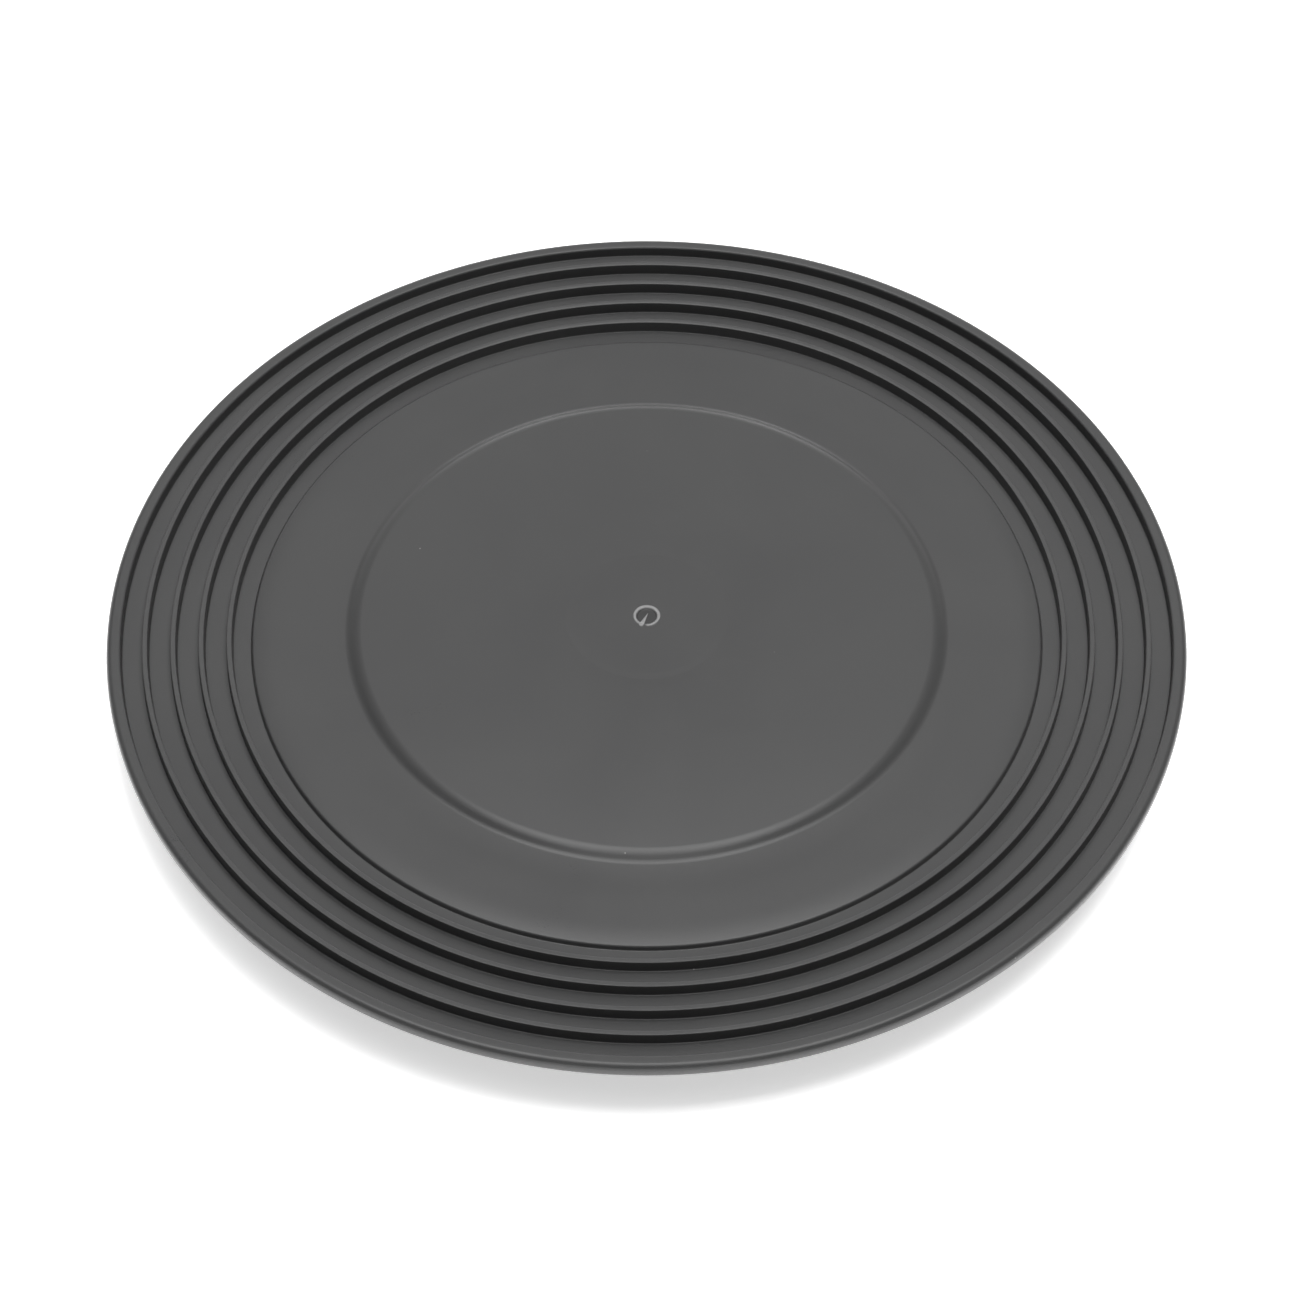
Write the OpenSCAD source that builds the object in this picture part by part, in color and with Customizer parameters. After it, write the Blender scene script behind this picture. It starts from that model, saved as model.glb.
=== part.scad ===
// Low-profile banding wheel: a ribbed plastic wheel head that turns on a ring of
// caged steel balls above a moulded base with push-in rubber feet.
// Millimetres. Z is up, the axis of turning is Z, and z = 0 is the bench under the feet.

/* [Wheel head] */
// Diameter over the rim
head_d = 300; // [296:1:306]
// Height of the plain outer panel above the bench
panel_z = 17; // [16.5:0.1:18]
// Thickness of the moulded wall
head_wall = 2.8; // [2.4:0.1:3.0]
// Diameter of the raised plateau in the middle
plateau_d = 165; // [162:0.5:166]
// Height of the plateau above the panel
plateau_rise = 1.5; // [1.0:0.1:2.0]
// Diameter of the plain panel, where the grip ribs begin
panel_d = 221; // [218:1:223]
// Number of concentric ribs between the panel and the rim
rib_count = 4; // [2:1:4]
// Radial distance from one rib to the next
rib_pitch = 7.7; // [7:0.1:7.8]
// Thickness of one rib
rib_width = 1.6; // [1.0:0.1:1.8]
// Height of a rib above the groove beside it
rib_height = 3.65; // [3:0.05:4]
// Radial width of the flat top of the rim
rim_width = 4; // [3.5:0.1:4.5]
// Height of the rim's outer edge above the panel
rim_rise = 4.5; // [4.3:0.1:5]

/* [Bearing] */
// Diameter of one steel ball
ball_d = 6; // [5.8:0.1:6]
// Number of balls
ball_count = 18; // [8:1:24]
// Radius of the circle that the balls run on
track_r = 76; // [75.5:0.5:76.5]
// Thickness of a race ring
race_h = 1.8; // [1.6:0.1:1.9]
// Radial width of a race ring
race_w = 10; // [9:0.5:10]

/* [Base] */
// Diameter of the base over its skirt
base_d = 210; // [206:1:212]
// Thickness of the base's floor
base_wall = 2.5; // [2.2:0.1:2.8]
// Number of rubber feet
foot_count = 6; // [3:1:6]
// Diameter of a foot
foot_d = 16; // [14:0.5:17]
// Height that the feet lift the base above the bench
foot_proud = 2; // [1.8:0.1:2.2]
// Radius of the circle that the feet stand on
foot_circle_r = 92; // [91:0.5:93]

/* [Hub] */
// Diameter of the post under the wheel head that turns in the bush
post_d = 20; // [18:0.5:20.5]
// Radial running clearance of the post in the bush
running_gap = 0.08; // [0.05:0.01:0.1]
// Nominal diameter of the pivot screw
screw_d = 5; // [4:0.5:5]

/* [Hidden] */
function two_digits(n) = n < 10 ? str("0", n) : str(n);
function ball_name(i) = str("ball_", two_digits(i));
function foot_name(i) = str("foot_", i);

$fn = 96;
join = 0.6;            // how far a rib or boss runs into the wall it grows from
edge = 0.3;            // chamfer on thin moulded edges

// Wheel head, worked outwards from the centre
head_r = head_d / 2;
panel_r = panel_d / 2;
plateau_r = plateau_d / 2;
plateau_z = panel_z + plateau_rise;
plateau_step = 0.8;    // half the width of the sloping step round the plateau
gate_r = 3;            // dimple that takes the moulding's cut-off gate
gate_depth = 0.3;
groove_drop = 1.7;     // the innermost groove floor lies this far below the panel
groove_slope = 0.08;   // rise of the groove floors per millimetre outwards
groove_wall = 2.6;
rim_inner_r = head_r - rim_width;
rim_z = panel_z + rim_rise;
rim_fall = 0.3;        // the rim's top leans inwards by this much
rim_side = 2.4;        // upright part of the rim's outer side
rim_round = 1.6;       // rounding under the rim
rib_first_r = rim_inner_r - 6.6 - (rib_count - 1) * rib_pitch;
plateau_under_z = plateau_z - head_wall;
panel_under_z = panel_z - head_wall;
under_step_r = plateau_r + 1.5;
under_bend_r = panel_r - 3.5;
groove_start_r = panel_r + 2;

function groove_z(r) = panel_z - groove_drop + groove_slope * (r - groove_start_r);
function rib_r(i) = rib_first_r + i * rib_pitch;

// Stiffening under the head
spoke_w = 2;
inner_spokes = 12;
outer_spokes = 24;
spoke_z = 13.5;        // lowest edge of the inner spokes
gusset_in_z = 13;      // lowest edge of the outer spokes, over the base
gusset_out_z = 12.2;   // and outside the base's skirt
dust_ring_r = 24;
dust_ring_w = 2.5;
dust_ring_z = 9;

// Bearing
ball_r = ball_d / 2;
ball_z = 9.5;
groove_r = ball_r + 0.08;
race_in_r = track_r - race_w / 2;
race_out_r = track_r + race_w / 2;
race_gap = 2.2;        // from the ball's centre to the face of each race
seat_lip_w = 1.9;
seat_lip_h = 1;
seat_gap = 0.1;
lower_race_z = ball_z - race_gap - race_h;
upper_race_z = ball_z + race_gap;
cage_web_w = 7;
cage_web_h = 2;
cage_boss_r = 4.4;
cage_boss_h = 2.8;
pocket_r = ball_r + 0.12;

// Base
base_r = base_d / 2;
base_floor_z = foot_proud + base_wall;
skirt_z = 12;
skirt_w = 2.5;
skirt_draft = 1.5;
base_spokes = 12;
base_spoke_z = 7;
foot_r = foot_d / 2;
foot_recess = 1.2;
foot_stem_r = 2.5;
foot_hole_r = 2.6;
foot_boss_r = 6;
foot_boss_h = 1;
foot_barb_r = 3.6;
foot_barb_h = 1.9;

// Hub
post_r = post_d / 2;
post_z = 6;            // lower end of the post
bush_wall = 2.4;
bush_z = 7.5;
bush_top_z = 11;
bush_flange_r = 15;
bush_flange_h = 1.2;
hub_r = 17.5;
hub_lip_z = 6.3;
hub_lip_gap = 0.6;
hub_recess_r = 14.5;
insert_r = 3.5;
insert_h = 5;
pilot_h = 7;
washer_r = 13;
washer_h = 1.2;
screw_r = screw_d / 2;
screw_head_r = 4.8;
screw_head_h = 2.4;
screw_length = 6.2;
thread_gap = 0.05;
socket_r = 1.75;
socket_depth = 1.4;

module ring(outer, inner, height) {
    difference() {
        cylinder(h = height, r = outer);
        translate([0, 0, -join]) cylinder(h = height + 2 * join, r = inner);
    }
}

module around(count, first = 0) {
    for (i = [0:count - 1]) rotate([0, 0, first + i * 360 / count]) children();
}

// A spoke: an outline in radius and height, given thickness about the XZ plane
module spoke(points) {
    rotate([90, 0, 0])
        translate([0, 0, -spoke_w / 2])
            linear_extrude(height = spoke_w) polygon(points);
}

// ---- Wheel head ----

function rib_outline(r) = let (top = groove_z(r) + rib_height, half = rib_width / 2) [
    [r - half, groove_z(r - half)],
    [r - half, top - edge],
    [r - half + edge, top],
    [r + half - edge, top],
    [r + half, top - edge],
    [r + half, groove_z(r + half)]
];

function rim_arc(steps) = [
    for (i = [0:steps])
        let (a = -i * 90 / steps)
        [head_r - rim_round + rim_round * cos(a), rim_z - rim_side + rim_round * sin(a)]
];

head_top = concat(
    [
        [0, plateau_z - gate_depth],
        [gate_r, plateau_z - gate_depth],
        [gate_r, plateau_z],
        [plateau_r - plateau_step, plateau_z],
        [plateau_r + plateau_step, panel_z],
        [panel_r - edge, panel_z],
        [panel_r, panel_z - edge],
        [panel_r, groove_z(panel_r)]
    ],
    [for (i = [0:rib_count - 1]) each rib_outline(rib_r(i))],
    [
        [rim_inner_r, groove_z(rim_inner_r)],
        [rim_inner_r, rim_z - rim_fall - edge],
        [rim_inner_r + edge, rim_z - rim_fall],
        [head_r - edge, rim_z],
        [head_r, rim_z - edge]
    ]
);

head_under = [
    [rim_inner_r - edge, groove_z(rim_inner_r) - groove_wall],
    [groove_start_r, groove_z(groove_start_r) - groove_wall],
    [under_bend_r, panel_under_z],
    [under_step_r, panel_under_z],
    [under_step_r, plateau_under_z],
    [0, plateau_under_z]
];

module race_seat(z, height) {
    translate([0, 0, z])
        ring(race_out_r + seat_lip_w, race_in_r - seat_lip_w, height);
}

module wheel_head() {
    seat_h = plateau_under_z - upper_race_z - race_h;
    lip_z = upper_race_z + race_h - seat_lip_h;
    color("dimgray") difference() {
        union() {
            rotate_extrude() polygon(concat(head_top, rim_arc(6), head_under));
            race_seat(lip_z, seat_h + seat_lip_h + join);
            translate([0, 0, post_z]) cylinder(h = plateau_under_z - post_z + join, r = post_r);
            translate([0, 0, dust_ring_z])
                ring(dust_ring_r, dust_ring_r - dust_ring_w, plateau_under_z - dust_ring_z + join);
            around(inner_spokes) spoke([
                [post_r - join, spoke_z],
                [race_in_r - seat_lip_w + join, spoke_z],
                [race_in_r - seat_lip_w + join, plateau_under_z + join],
                [post_r - join, plateau_under_z + join]
            ]);
            around(outer_spokes) spoke([
                [race_out_r + seat_lip_w - join, gusset_in_z],
                [under_bend_r, gusset_in_z],
                [groove_start_r, gusset_out_z],
                [rim_inner_r - rib_pitch, gusset_out_z + join],
                [rim_inner_r - edge, groove_z(rim_inner_r) - groove_wall],
                [rim_inner_r - edge, groove_z(rim_inner_r) - groove_wall + join],
                [groove_start_r, groove_z(groove_start_r) - groove_wall + join],
                [under_bend_r, panel_under_z + join],
                [race_out_r + seat_lip_w - join, panel_under_z + join]
            ]);
        }
        translate([0, 0, lip_z - join])
            ring(race_out_r + seat_gap, race_in_r - seat_gap, seat_lip_h + join);
        translate([0, 0, post_z - join]) cylinder(h = pilot_h + join, r = insert_r);
    }
}

// ---- Hub fixings that turn with the head ----

module hub_insert() {
    color("goldenrod") translate([0, 0, post_z])
        ring(insert_r, screw_r, insert_h);
}

module retaining_washer() {
    color("silver") translate([0, 0, post_z - washer_h])
        ring(washer_r, screw_r + 2 * seat_gap, washer_h);
}

module pivot_screw() {
    head_z = post_z - washer_h - screw_head_h;
    color("lightgray") difference() {
        union() {
            translate([0, 0, head_z]) cylinder(h = edge, r1 = screw_head_r - edge, r2 = screw_head_r);
            translate([0, 0, head_z + edge]) cylinder(h = screw_head_h - edge, r = screw_head_r);
            translate([0, 0, head_z + screw_head_h - edge])
                cylinder(h = screw_length + edge, r = screw_r - thread_gap);
        }
        translate([0, 0, head_z - join]) cylinder(h = socket_depth + join, r = socket_r, $fn = 6);
    }
}

// ---- Ball bearing ----

// A steel ring with its ball groove cut into the face towards the balls
module race_ring(z) {
    color("silver") difference() {
        translate([0, 0, z]) ring(race_out_r, race_in_r, race_h);
        translate([0, 0, ball_z])
            rotate_extrude() translate([track_r, 0]) circle(r = groove_r);
    }
}

module upper_race() {
    race_ring(upper_race_z);
}

module lower_race() {
    race_ring(lower_race_z);
}

module at_ball(i) {
    rotate([0, 0, (i - 1) * 360 / ball_count]) translate([track_r, 0, ball_z]) children();
}

module ball_cage() {
    color("ivory") difference() {
        union() {
            translate([0, 0, ball_z - cage_web_h / 2])
                ring(track_r + cage_web_w / 2, track_r - cage_web_w / 2, cage_web_h);
            for (i = [1:ball_count])
                at_ball(i) translate([0, 0, -cage_boss_h / 2])
                    cylinder(h = cage_boss_h, r = cage_boss_r);
        }
        for (i = [1:ball_count]) at_ball(i) sphere(r = pocket_r);
    }
}

module ball(i) {
    color("gainsboro") at_ball(i) sphere(r = ball_r);
}

// ---- Base ----

module at_foot(i) {
    rotate([0, 0, (i - 1) * 360 / foot_count]) translate([foot_circle_r, 0, 0]) children();
}

module base_dish() {
    seat_z = lower_race_z;
    color("darkslategray") difference() {
        union() {
            rotate_extrude() polygon([
                [0, foot_proud],
                [base_r - skirt_draft - edge, foot_proud],
                [base_r - skirt_draft, foot_proud + edge],
                [base_r, skirt_z - edge],
                [base_r - edge, skirt_z],
                [base_r - skirt_w + edge, skirt_z],
                [base_r - skirt_w, skirt_z - edge],
                [base_r - skirt_w - skirt_draft / 2, base_floor_z],
                [0, base_floor_z]
            ]);
            race_seat(base_floor_z - join, seat_z + seat_lip_h - base_floor_z + join);
            translate([0, 0, foot_proud]) cylinder(h = bush_top_z - foot_proud, r = hub_r);
            around(base_spokes, 180 / base_spokes) spoke([
                [hub_r - join, base_floor_z - join],
                [race_in_r - seat_lip_w + join, base_floor_z - join],
                [race_in_r - seat_lip_w + join, seat_z + seat_lip_h - edge],
                [race_in_r - rib_pitch, base_spoke_z],
                [hub_r - join, base_spoke_z]
            ]);
            around(base_spokes, 180 / base_spokes) spoke([
                [race_out_r + seat_lip_w - join, base_floor_z - join],
                [base_r - skirt_w, base_floor_z - join],
                [base_r - skirt_w, base_spoke_z],
                [race_out_r + rib_pitch, base_spoke_z],
                [race_out_r + seat_lip_w - join, seat_z + seat_lip_h - edge]
            ]);
            for (i = [1:foot_count])
                at_foot(i) translate([0, 0, base_floor_z - join])
                    cylinder(h = foot_boss_h + join, r = foot_boss_r);
        }
        translate([0, 0, seat_z])
            ring(race_out_r + seat_gap, race_in_r - seat_gap, seat_lip_h + join);
        translate([0, 0, foot_proud - join])
            cylinder(h = hub_lip_z - foot_proud + join, r = hub_recess_r);
        translate([0, 0, foot_proud]) cylinder(h = bush_top_z, r = post_r + hub_lip_gap);
        translate([0, 0, bush_z]) cylinder(h = bush_top_z, r = post_r + running_gap + bush_wall);
        for (i = [1:foot_count]) at_foot(i) {
            translate([0, 0, foot_proud - join])
                cylinder(h = foot_recess + join, r = foot_r + 2 * seat_gap);
            cylinder(h = base_floor_z + foot_boss_h + join, r = foot_hole_r);
        }
    }
}

module hub_bush() {
    bush_r = post_r + running_gap + bush_wall;
    color("whitesmoke") difference() {
        union() {
            translate([0, 0, bush_z]) cylinder(h = bush_top_z - bush_z + join, r = bush_r);
            translate([0, 0, bush_top_z]) cylinder(h = bush_flange_h, r = bush_flange_r);
        }
        translate([0, 0, bush_z - join])
            cylinder(h = bush_top_z + bush_flange_h, r = post_r + running_gap);
    }
}

// A push-in rubber foot: pad, stem and barb
module foot(i) {
    pad_h = foot_proud + foot_recess;
    barb_z = base_floor_z + foot_boss_h + seat_gap;
    color("#303030") at_foot(i) {
        cylinder(h = 2 * edge, r1 = foot_r - 2 * edge, r2 = foot_r);
        translate([0, 0, 2 * edge]) cylinder(h = pad_h - 2 * edge, r = foot_r);
        translate([0, 0, pad_h - edge]) cylinder(h = barb_z - pad_h + 2 * edge, r = foot_stem_r);
        translate([0, 0, barb_z]) cylinder(h = foot_barb_h, r1 = foot_barb_r, r2 = foot_stem_r - edge);
    }
}

wheel_head();
upper_race();
hub_insert();
retaining_washer();
pivot_screw();
ball_cage();
for (i = [1:ball_count]) ball(i);
base_dish();
lower_race();
hub_bush();
for (i = [1:foot_count]) foot(i);
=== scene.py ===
import math

import bmesh
import bpy
from mathutils import Matrix, Vector


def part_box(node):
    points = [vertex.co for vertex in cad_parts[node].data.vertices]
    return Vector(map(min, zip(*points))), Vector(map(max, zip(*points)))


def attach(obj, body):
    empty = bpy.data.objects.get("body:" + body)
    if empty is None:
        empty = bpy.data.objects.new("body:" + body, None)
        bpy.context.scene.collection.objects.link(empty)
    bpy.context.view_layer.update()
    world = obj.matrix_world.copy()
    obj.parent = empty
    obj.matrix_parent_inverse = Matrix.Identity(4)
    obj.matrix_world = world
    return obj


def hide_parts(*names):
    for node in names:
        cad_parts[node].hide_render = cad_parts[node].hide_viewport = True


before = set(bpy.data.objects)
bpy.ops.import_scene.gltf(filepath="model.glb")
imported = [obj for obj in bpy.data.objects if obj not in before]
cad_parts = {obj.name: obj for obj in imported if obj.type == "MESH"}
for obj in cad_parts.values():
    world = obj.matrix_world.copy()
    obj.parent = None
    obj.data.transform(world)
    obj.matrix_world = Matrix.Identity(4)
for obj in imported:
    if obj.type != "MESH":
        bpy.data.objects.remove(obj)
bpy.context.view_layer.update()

mm = 0.001

# ---------------------------------------------------------------------------------------------
# Base dish. A shallow injection-moulded dish of dark polypropylene: a floor stiffened by
# spokes, a skirt, a seat for the lower race and a hub. The spokes, foot bosses, foot pockets
# and ejector marks repeat round the axis.
# ---------------------------------------------------------------------------------------------


def put(tree, kind, inputs=None, **settings):
    """Adds a node, sets its options, and fills or links its inputs."""
    node = tree.nodes.new(kind)
    for key, value in settings.items():
        setattr(node, key, value)
    for key, value in (inputs or {}).items():
        if isinstance(value, bpy.types.NodeSocket):
            tree.links.new(value, node.inputs[key])
        else:
            node.inputs[key].default_value = value
    return node


def rounded(corners, closed=True, degrees_a_step=18):
    """Turns (radius, height, rounding) corners in millimetres into outline points in metres."""
    points = []
    count = len(corners)
    for i, (radius, height, rounding) in enumerate(corners):
        corner = Vector((radius, height))
        at_end = not closed and i in (0, count - 1)
        if rounding <= 0 or at_end:
            points.append(corner * mm)
            continue
        before = (Vector(corners[i - 1][:2]) - corner).normalized()
        after = (Vector(corners[(i + 1) % count][:2]) - corner).normalized()
        half = before.angle(after) / 2
        centre = corner + (before + after).normalized() * rounding / math.sin(half)
        start = corner + before * rounding / math.tan(half) - centre
        end = corner + after * rounding / math.tan(half) - centre
        sweep = start.angle_signed(end)
        steps = max(2, round(abs(math.degrees(sweep)) / degrees_a_step))
        for step in range(steps + 1):
            turn = Matrix.Rotation(-sweep * step / steps, 2)
            points.append((centre + turn @ start) * mm)
    return points


def turned(name, outline, steps, closed=True):
    """A solid of revolution about Z from outline points in radius and height."""
    verts, faces, rings = [], [], []
    for radius, height in outline:
        size = 1 if radius < 1e-7 else steps
        rings.append([len(verts) + k for k in range(size)])
        for k in range(size):
            angle = 2 * math.pi * k / steps
            verts.append((radius * math.cos(angle), radius * math.sin(angle), height))
    following = rings[1:] + (rings[:1] if closed else [])
    for low, high in zip(rings, following):
        for k in range(steps):
            loop = (low[k % len(low)], low[(k + 1) % len(low)],
                    high[(k + 1) % len(high)], high[k % len(high)])
            loop = list(dict.fromkeys(loop))
            if len(loop) > 2:
                faces.append(loop)
    return solid(name, verts, faces)


def solid(name, verts, faces):
    """A mesh object whose faces point outwards."""
    mesh = bpy.data.meshes.new(name)
    mesh.from_pydata(verts, [], faces)
    work = bmesh.new()
    work.from_mesh(mesh)
    bmesh.ops.recalc_face_normals(work, faces=work.faces)
    work.to_mesh(mesh)
    work.free()
    made = bpy.data.objects.new(name, mesh)
    bpy.context.scene.collection.objects.link(made)
    return made


def plate(name, outline, thickness):
    """An outline in radius and height (millimetres) given thickness about the XZ plane."""
    half = thickness * mm / 2
    near = [(x * mm, -half, z * mm) for x, z in outline]
    far = [(x * mm, half, z * mm) for x, z in outline]
    count = len(outline)
    sides = [(k, (k + 1) % count, (k + 1) % count + count, k + count) for k in range(count)]
    caps = [tuple(range(count)), tuple(range(2 * count - 1, count - 1, -1))]
    return solid(name, near + far, sides + caps)


def ring_tree(name, operation=None):
    """Geometry Nodes: repeats a part round the axis, alone or joined to or cut from a body."""
    tree = bpy.data.node_groups.new(name, "GeometryNodeTree")
    for label, kind in (("Body", "Geometry"), ("Part", "Object"), ("Count", "Int"),
                        ("First angle", "Float"), ("Material", "Material")):
        tree.interface.new_socket(label, in_out="INPUT", socket_type="NodeSocket" + kind)
    tree.interface.new_socket("Body", in_out="OUTPUT", socket_type="NodeSocketGeometry")
    given = put(tree, "NodeGroupInput").outputs
    part = put(tree, "GeometryNodeObjectInfo", {"Object": given["Part"]})
    spots = put(tree, "GeometryNodePoints", {"Count": given["Count"]})
    index = put(tree, "GeometryNodeInputIndex")
    share = put(tree, "ShaderNodeMath", {0: index.outputs[0], 1: given["Count"]},
                operation="DIVIDE")
    angle = put(tree, "ShaderNodeMath",
                {0: share.outputs[0], 1: 2 * math.pi, 2: given["First angle"]},
                operation="MULTIPLY_ADD")
    turn = put(tree, "ShaderNodeCombineXYZ", {"Z": angle.outputs[0]})
    copies = put(tree, "GeometryNodeInstanceOnPoints",
                 {"Points": spots.outputs[0], "Instance": part.outputs["Geometry"],
                  "Rotation": turn.outputs[0]})
    shape = put(tree, "GeometryNodeRealizeInstances", {"Geometry": copies.outputs[0]})
    if operation:
        merged = put(tree, "GeometryNodeMeshBoolean", operation=operation, solver="MANIFOLD")
        body_socket = "Mesh 2" if operation == "UNION" else "Mesh 1"
        tree.links.new(given["Body"], merged.inputs[body_socket])
        tree.links.new(shape.outputs[0], merged.inputs["Mesh 2"])
        shape = merged
    painted = put(tree, "GeometryNodeSetMaterial",
                  {"Geometry": shape.outputs[0], "Material": given["Material"]})
    put(tree, "NodeGroupOutput", {"Body": painted.outputs[0]})
    return tree


add_ring = ring_tree("add_round_the_axis", "UNION")
cut_ring = ring_tree("cut_round_the_axis", "DIFFERENCE")


def with_ring(body, tree, part, count, first_angle, material):
    """Runs one ring tree on body and leaves the result as a plain mesh."""
    modifier = body.modifiers.new(tree.name, "NODES")
    modifier.node_group = tree
    values = {"Part": part, "Count": count, "First angle": first_angle, "Material": material}
    for item in tree.interface.items_tree:
        if item.in_out == "INPUT" and item.name in values:
            modifier[item.identifier] = values[item.name]
    result = bpy.data.meshes.new_from_object(
        body.evaluated_get(bpy.context.evaluated_depsgraph_get()))
    body.modifiers.remove(modifier)
    body.data = result
    bpy.data.objects.remove(part)
    return body


def finished(piece, body, nodes, material, crease=32):
    mesh = piece.data
    mesh.name = piece.name
    mesh.materials.clear()
    mesh.materials.append(material)
    mesh.shade_smooth()
    mesh.set_sharp_from_angle(angle=math.radians(crease))
    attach(piece, body)
    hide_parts(*nodes)
    return piece


def marked(piece, name, value_at):
    """Stores a value between 0 and 1 at every point of a piece, for its material to read."""
    attribute = piece.data.attributes.new(name, "FLOAT", "POINT")
    values = [value_at(v.co) for v in piece.data.vertices]
    attribute.data.foreach_set("value", values)


def near_outline(corners, reach):
    """How close a point lies to any of the outline's corners, 1 on it and 0 beyond reach."""
    edges = [Vector((r * mm, z * mm)) for r, z in corners]

    def closeness(co):
        here = Vector((math.hypot(co.x, co.y), co.z))
        return max(0.0, 1 - min((here - e).length for e in edges) / (reach * mm))

    return closeness


def shader_group(name, inputs, outputs):
    """An empty shader node group with named sockets; returns it with its input sockets."""
    group = bpy.data.node_groups.new(name, "ShaderNodeTree")
    for label, kind, value in inputs:
        socket = group.interface.new_socket(label, in_out="INPUT", socket_type=kind)
        if value is not None:
            socket.default_value = value
    for label, kind in outputs:
        group.interface.new_socket(label, in_out="OUTPUT", socket_type=kind)
    return group, put(group, "NodeGroupInput").outputs


NUMBER, VECTOR = "NodeSocketFloat", "NodeSocketVector"


def moulded_grain_group():
    """Fine mould grain with slow flow mottling. Height feeds bump, Tone feeds colour."""
    group, given = shader_group(
        "moulded_grain",
        [("Vector", VECTOR, None), ("Grain per metre", NUMBER, 3000.0),
         ("Flow per metre", NUMBER, 18.0)],
        [("Height", NUMBER), ("Tone", NUMBER)])
    grain = put(group, "ShaderNodeTexNoise",
                {"Vector": given["Vector"], "Scale": given["Grain per metre"], "Detail": 3.0,
                 "Roughness": 0.6})
    flow = put(group, "ShaderNodeTexNoise",
               {"Vector": given["Vector"], "Scale": given["Flow per metre"], "Detail": 4.0,
                "Roughness": 0.55, "Distortion": 0.6})
    fine = put(group, "ShaderNodeMath", {0: grain.outputs[0], 1: 0.35}, operation="MULTIPLY")
    tone = put(group, "ShaderNodeMath", {0: flow.outputs[0], 1: 0.65, 2: fine.outputs[0]},
               operation="MULTIPLY_ADD")
    put(group, "NodeGroupOutput", {"Height": grain.outputs[0], "Tone": tone.outputs[0]})
    return group


def specks_group():
    """A sparse scatter of dust specks. Mask is 1 on a speck."""
    group, given = shader_group(
        "dust_specks",
        [("Vector", VECTOR, None), ("Specks per metre", NUMBER, 160.0),
         ("Size", NUMBER, 0.05), ("Share", NUMBER, 0.25)],
        [("Mask", NUMBER)])
    cells = put(group, "ShaderNodeTexVoronoi",
                {"Vector": given["Vector"], "Scale": given["Specks per metre"]})
    dot = put(group, "ShaderNodeMath", {0: cells.outputs["Distance"], 1: given["Size"]},
              operation="LESS_THAN")
    pick = put(group, "ShaderNodeSeparateColor", {"Color": cells.outputs["Color"]})
    chosen = put(group, "ShaderNodeMath", {0: pick.outputs[0], 1: given["Share"]},
                 operation="LESS_THAN")
    mask = put(group, "ShaderNodeMath", {0: dot.outputs[0], 1: chosen.outputs[0]},
               operation="MULTIPLY")
    put(group, "NodeGroupOutput", {"Mask": mask.outputs[0]})
    return group


def turning_marks_group():
    """Fine broken circles round the Z axis, as a lathe, a polish or a dragged pot leaves."""
    group, given = shader_group(
        "turning_marks",
        [("Vector", VECTOR, None), ("Circles per metre", NUMBER, 4000.0),
         ("Breaks", NUMBER, 1.2)],
        [("Lines", NUMBER)])
    place = put(group, "ShaderNodeSeparateXYZ", {"Vector": given["Vector"]})
    flat = put(group, "ShaderNodeCombineXYZ",
               {"X": place.outputs[0], "Y": place.outputs[1]})
    radius = put(group, "ShaderNodeVectorMath", {0: flat.outputs[0]}, operation="LENGTH")
    rings = put(group, "ShaderNodeMath",
                {0: radius.outputs["Value"], 1: given["Circles per metre"]},
                operation="MULTIPLY")
    facing = put(group, "ShaderNodeVectorMath", {0: flat.outputs[0]}, operation="NORMALIZE")
    spread = put(group, "ShaderNodeVectorMath",
                 {0: facing.outputs[0], "Scale": given["Breaks"]}, operation="SCALE")
    around = put(group, "ShaderNodeSeparateXYZ", {"Vector": spread.outputs[0]})
    polar = put(group, "ShaderNodeCombineXYZ",
                {"X": around.outputs[0], "Y": around.outputs[1], "Z": rings.outputs[0]})
    lines = put(group, "ShaderNodeTexNoise",
                {"Vector": polar.outputs[0], "Scale": 1.0, "Detail": 4.0, "Roughness": 0.7})
    put(group, "NodeGroupOutput", {"Lines": lines.outputs[0]})
    return group


def rubbed_edges_group():
    """Edges handled or rubbed paler. Reads the piece's own edge values and breaks them up."""
    group, given = shader_group(
        "rubbed_edges", [("Vector", VECTOR, None), ("Amount", NUMBER, 1.0)],
        [("Mask", NUMBER)])
    edge = put(group, "ShaderNodeAttribute", attribute_name="edge")
    patchy = put(group, "ShaderNodeTexNoise",
                 {"Vector": given["Vector"], "Scale": 240.0, "Detail": 5.0, "Roughness": 0.7})
    broken = put(group, "ShaderNodeMapRange",
                 {"Value": patchy.outputs[0], "From Min": 0.3, "From Max": 0.7})
    mask = put(group, "ShaderNodeMath", {0: edge.outputs["Fac"], 1: broken.outputs[0]},
               operation="MULTIPLY")
    scaled = put(group, "ShaderNodeMath", {0: mask.outputs[0], 1: given["Amount"]},
                 operation="MULTIPLY")
    put(group, "NodeGroupOutput", {"Mask": scaled.outputs[0]})
    return group


moulded_grain = moulded_grain_group()
dust_specks = specks_group()
turning_marks = turning_marks_group()
rubbed_edges = rubbed_edges_group()


def new_material(name):
    """An empty node material; returns it with its tree, shader and object coordinates."""
    material = bpy.data.materials.new(name)
    material.use_nodes = True
    tree = material.node_tree
    tree.nodes.clear()
    shader = put(tree, "ShaderNodeBsdfPrincipled")
    put(tree, "ShaderNodeOutputMaterial", {"Surface": shader.outputs[0]})
    place = put(tree, "ShaderNodeTexCoord").outputs["Object"]
    return material, tree, shader, place


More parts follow.
